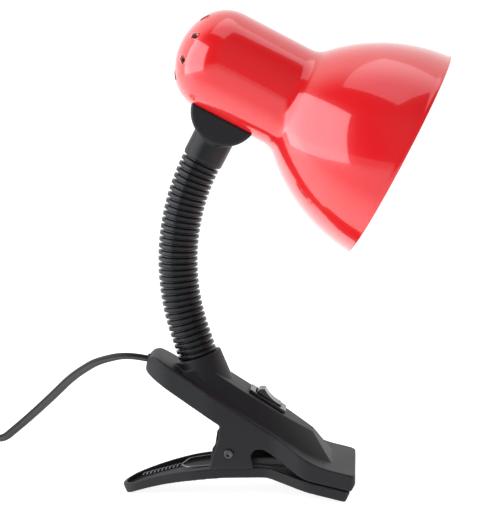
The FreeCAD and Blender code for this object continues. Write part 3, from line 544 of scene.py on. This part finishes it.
def twin_section():
    """Outline of the flat twin lead: two round wires side by side with a groove between them."""
    angles = [math.radians(-100 + 25 * i) for i in range(9)]
    right = [(LOBE_R + LOBE_R * math.cos(a), LOBE_R * math.sin(a)) for a in angles]
    left = [(-u, -v) for u, v in right]
    return right + [(0, LOBE_R - GROOVE_DEPTH)] + left + [(0, GROOVE_DEPTH - LOBE_R)]


def cord_lie(i, coil_from, coil_to):
    """Slope of the lead's flat side at a point: on edge in the coil, flat where it lies loose."""
    if i < coil_to:
        return math.radians(EXIT_LIE + (90 - EXIT_LIE) * smooth((i - coil_from + 24) / 20))
    return math.radians(90 - 90 * smooth((i - coil_to - 2) / 16))


def make_cord():
    """Flat twin lead from the clip through its coil to the plug."""
    free = eased(CORD_ROUTE)
    coil = coil_path()
    path = free + coil[1:] + eased(TAIL_ROUTE)[1:]
    coil_from, coil_to = len(free), len(free) + len(coil) - 1
    section = twin_section()
    loops = []
    for i, point in enumerate(path):
        way = way_at(path, i)
        level = Vector((0, 0, 1)).cross(way).normalized()
        rise = way.cross(level)
        lie = cord_lie(i, coil_from, coil_to)
        wide = level * math.cos(lie) + rise * math.sin(lie)
        thin = rise * math.cos(lie) - level * math.sin(lie)
        loops.append([mm(*(point + wide * u + thin * v)) for u, v in section])
    cord = swept("lead", loops, "cord_sheath", capped=True)
    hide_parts("power_cord", "cord_coil", "cord_tail")
    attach(cord, "clip")


# ---- CAD pieces ------------------------------------------------------------------------------

SOFT_EDGES = {                           # voxel in millimetres and rounds of smoothing
    "upper_shell": (0.45, 5), "lower_jaw": (0.45, 5), "saddle": (0.4, 5),
    "switch_housing": (0.3, 3), "switch_rocker": (0.25, 3), "plug_body": (0.5, 5),
}


def dress_nodes():
    """Each CAD piece wears the material its record names."""
    slots = {part["node"]: part["material_slot"] for part in frame["record"]["subparts"]}
    for name, node in frame["nodes"].items():
        wear(node, slots[name])


def soften(name, voxel, rounds):
    """Round a moulded piece's edges a little."""
    node = frame["nodes"][name]
    weld = node.modifiers.new("weld", "WELD")
    weld.merge_threshold = 1e-5
    remesh = node.modifiers.new("remesh", "REMESH")
    remesh.mode = "VOXEL"
    remesh.voxel_size = voxel * MM
    remesh.use_smooth_shade = True
    relax = node.modifiers.new("relax", "SMOOTH")
    relax.factor = 0.5
    relax.iterations = rounds


# ---- studio ----------------------------------------------------------------------------------

FLOOR_HALF = 30.0
FLOOR_FADE = ((-0.3, -0.06), (0.16, 0.88))      # glow of the floor from in front of the lamp to behind
WORLD_FADE = ((-0.25, 0.35), (0.06, 1.05))      # light from the camera's side to behind the lamp
COOL_WHITE = (0.93, 0.97, 1.06)
LAMP_MIDDLE = (0, 0, 0.15)
SOFTBOXES = (                            # name, direction, distance, size, radiance, seen in reflections
    ("left", (-0.94, -0.32, 0.13), 1.0, (1.15, 1.45), 2.6, True),
    ("top", (0.08, -0.06, 1.0), 1.0, (0.9, 0.72), 0.9, True),
    ("fill", (0.35, -1.0, 0.4), 1.3, (1.4, 1.4), 1.2, False),
)


def fade_along_y(tree, coordinates, limits):
    """Output that runs smoothly between two values along Y."""
    coords = tree.nodes.new("ShaderNodeTexCoord")
    split = tree.nodes.new("ShaderNodeSeparateXYZ")
    fade = tree.nodes.new("ShaderNodeMapRange")
    fade.interpolation_type = "SMOOTHSTEP"
    (fade.inputs["From Min"].default_value, fade.inputs["From Max"].default_value) = limits[0]
    (fade.inputs["To Min"].default_value, fade.inputs["To Max"].default_value) = limits[1]
    tree.links.new(coords.outputs[coordinates], split.inputs["Vector"])
    tree.links.new(split.outputs["Y"], fade.inputs["Value"])
    return fade.outputs["Result"]


def make_floor():
    """White floor with a painted glow, weaker in front of the lamp."""
    mesh = bpy.data.meshes.new("floor")
    corners = [(-FLOOR_HALF, -FLOOR_HALF, 0), (FLOOR_HALF, -FLOOR_HALF, 0),
               (FLOOR_HALF, FLOOR_HALF, 0), (-FLOOR_HALF, FLOOR_HALF, 0)]
    mesh.from_pydata(corners, [], [(0, 1, 2, 3)])
    floor = bpy.data.objects.new("floor", mesh)
    bpy.context.scene.collection.objects.link(floor)
    # painted light: the floor's own glow stands in for light falling on it, and it is weaker in front of
    # the lamp so that less white shows in the shade's reflections
    mat = principled("pale_floor", (0.55, 0.55, 0.55), 0.9, Emission_Color=(1, 1, 1, 1))
    strength = mat.node_tree.nodes["Principled BSDF"].inputs["Emission Strength"]
    mat.node_tree.links.new(fade_along_y(mat.node_tree, "Object", FLOOR_FADE), strength)
    mesh.materials.append(mat)


def make_world():
    """White behind the lamp, fading to a dark room on the camera's side."""
    world = bpy.data.worlds.new("studio")
    world.use_nodes = True
    background = world.node_tree.nodes["Background"]
    background.inputs["Color"].default_value = (1, 1, 1, 1)
    fade = fade_along_y(world.node_tree, "Generated", WORLD_FADE)
    world.node_tree.links.new(fade, background.inputs["Strength"])
    bpy.context.scene.world = world


def softbox(name, way, distance, size, radiance, reflected):
    """Panel standing at a distance along a direction from the lamp."""
    data = bpy.data.lights.new(name, "AREA")
    data.shape = "RECTANGLE"
    data.size, data.size_y = size
    data.color = COOL_WHITE
    data.energy = radiance * math.pi * size[0] * size[1]
    light = bpy.data.objects.new(name, data)
    away = Vector(way).normalized()
    light.location = Vector(LAMP_MIDDLE) + away * distance
    light.rotation_euler = away.to_track_quat("Z", "Y").to_euler()
    light.visible_glossy = reflected
    bpy.context.scene.collection.objects.link(light)


# ---- camera ----------------------------------------------------------------------------------

CAMERA_AZIMUTH = 3.0                     # degrees
CAMERA_ELEVATION = 8.5
CAMERA_ROLL = -1.2
CAMERA_TARGET = (-20.19, 0, 119.0)
CAMERA_DISTANCE = 1.2
CAMERA_LENS = 168.75
CAMERA_SENSOR = 36.0


def make_camera():
    azimuth, elevation, roll = (math.radians(a) for a in (CAMERA_AZIMUTH, CAMERA_ELEVATION, CAMERA_ROLL))
    back = Vector((math.sin(azimuth) * math.cos(elevation), -math.cos(azimuth) * math.cos(elevation),
                   math.sin(elevation)))
    right = Vector((math.cos(azimuth), math.sin(azimuth), 0))
    up = back.cross(right)
    turned_right = right * math.cos(roll) + up * math.sin(roll)
    turned_up = up * math.cos(roll) - right * math.sin(roll)
    data = bpy.data.cameras.new("camera")
    data.sensor_width = CAMERA_SENSOR
    data.lens = CAMERA_LENS
    camera = bpy.data.objects.new("camera", data)
    place = Matrix((turned_right, turned_up, back)).transposed().to_4x4()
    place.translation = mm(*CAMERA_TARGET) + back * CAMERA_DISTANCE
    camera.matrix_world = place
    bpy.context.scene.collection.objects.link(camera)
    bpy.context.scene.camera = camera


make_materials()
make_neck()
make_shade()
make_spring()
make_cord()
make_floor()
make_world()
for panel in SOFTBOXES:
    softbox(*panel)
make_camera()
dress_nodes()
for name, (voxel, rounds) in SOFT_EDGES.items():
    soften(name, voxel, rounds)
bpy.context.scene.view_settings.view_transform = "Standard"
